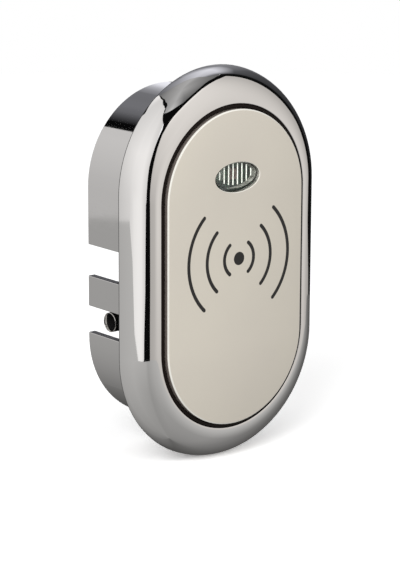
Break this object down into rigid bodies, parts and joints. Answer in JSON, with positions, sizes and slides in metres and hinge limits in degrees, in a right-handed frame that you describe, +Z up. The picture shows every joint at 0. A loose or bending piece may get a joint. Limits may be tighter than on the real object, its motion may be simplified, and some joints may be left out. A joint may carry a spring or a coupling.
{
  "type": "electronic cabinet lock",
  "caption": "Oval chromed locker lock with an ivory reader plate, motor-driven sliding bolt, side fixing sleeve and a battery bay behind a hinged lid.",
  "frame": {"origin": "middle of the bezel back plane, where the lock meets the door", "axes": "+X right seen from the front, +Y into the cabinet, +Z up"},
  "size_m": [0.0694, 0.0336, 0.116],
  "materials": {
    "chrome_plate": "mirror-bright plated zinc casting",
    "ivory_plastic": "satin moulded",
    "seal_rubber": "matte",
    "clear_lens": "clear, polished",
    "enamelled_copper": "wound, enamelled",
    "board_laminate": "solder mask",
    "lamp_green": "clear tinted",
    "lamp_red": "clear tinted",
    "epoxy_black": "matte moulded",
    "nickel_plate": "satin plated",
    "white_nylon": "moulded",
    "zinc_steel": "plated",
    "black_nylon": "fine spark-eroded grain",
    "white_acetal": "moulded",
    "turned_brass": "turned",
    "cell_jacket": "printed jacket"
  },
  "bodies": {
    "housing_body": {"housing": "chrome_plate", "faceplate": "ivory_plastic", "faceplate_gasket": "seal_rubber", "indicator_lens": "clear_lens", "antenna_coil": "enamelled_copper", "circuit_board": "board_laminate", "led_green": "lamp_green", "led_red": "lamp_red", "reader_chip": "epoxy_black", "controller_chip": "epoxy_black", "quartz_crystal": "nickel_plate", "buzzer": "epoxy_black", "battery_connector": "white_nylon", "motor_connector": "white_nylon", "board_screw_1": "zinc_steel", "board_screw_2": "zinc_steel", "board_screw_3": "zinc_steel", "board_screw_4": "zinc_steel", "faceplate_screw_top": "zinc_steel", "faceplate_screw_bottom": "zinc_steel", "chassis": "black_nylon", "chassis_screw_left": "zinc_steel", "chassis_screw_right": "zinc_steel", "gear_plate": "zinc_steel", "gear_plate_screw": "zinc_steel", "wheel_arbor": "zinc_steel", "motor_can": "zinc_steel", "motor_end_cap": "epoxy_black", "bolt_sensor": "epoxy_black", "side_sleeve": "nickel_plate", "contact_left_front": "nickel_plate", "contact_left_rear": "nickel_plate", "contact_right_bridge": "nickel_plate", "terminal_positive": "nickel_plate", "terminal_negative": "nickel_plate", "rear_cover": "black_nylon", "battery_cell_1": "cell_jacket", "battery_spring_1": "nickel_plate", "rear_cover_screw_1": "zinc_steel", "battery_cell_2": "cell_jacket", "battery_spring_2": "nickel_plate", "rear_cover_screw_2": "zinc_steel", "battery_cell_3": "cell_jacket", "battery_spring_3": "nickel_plate", "rear_cover_screw_3": "zinc_steel", "battery_cell_4": "cell_jacket", "battery_spring_4": "nickel_plate", "rear_cover_screw_4": "zinc_steel"},
    "bolt_body": {"bolt": "nickel_plate"},
    "wheel_body": {"drive_wheel": "white_acetal"},
    "worm_body": {"worm": "turned_brass", "motor_shaft": "zinc_steel"},
    "lid_body": {"battery_lid": "black_nylon"}
  },
  "joints": [
    {"name": "bolt_slide", "type": "slide", "parent": "housing_body", "child": "bolt_body", "axis": [-1, 0, 0], "range_m": [0, 0.013]},
    {"name": "wheel_turn", "type": "hinge", "parent": "housing_body", "child": "wheel_body", "pos_m": [-0.002, 0.0144, -0.005], "axis": [0, -1, 0], "range_deg": [0, 186.3]},
    {"name": "worm_turn", "type": "hinge", "parent": "housing_body", "child": "worm_body", "pos_m": [-0.002, 0.0144, -0.0165], "axis": [-1, 0, 0], "range_deg": [0, 5587]},
    {"name": "lid_hinge", "type": "hinge", "parent": "housing_body", "child": "lid_body", "pos_m": [0.02425, 0.02185, 0.01475], "axis": [0, 0, -1], "range_deg": [0, 110]}
  ],
  "couplings": [
    {"joint": "wheel_turn", "follows": "bolt_slide", "rad_per_m": 250},
    {"joint": "worm_turn", "follows": "bolt_slide", "rad_per_m": 7500}
  ]
}
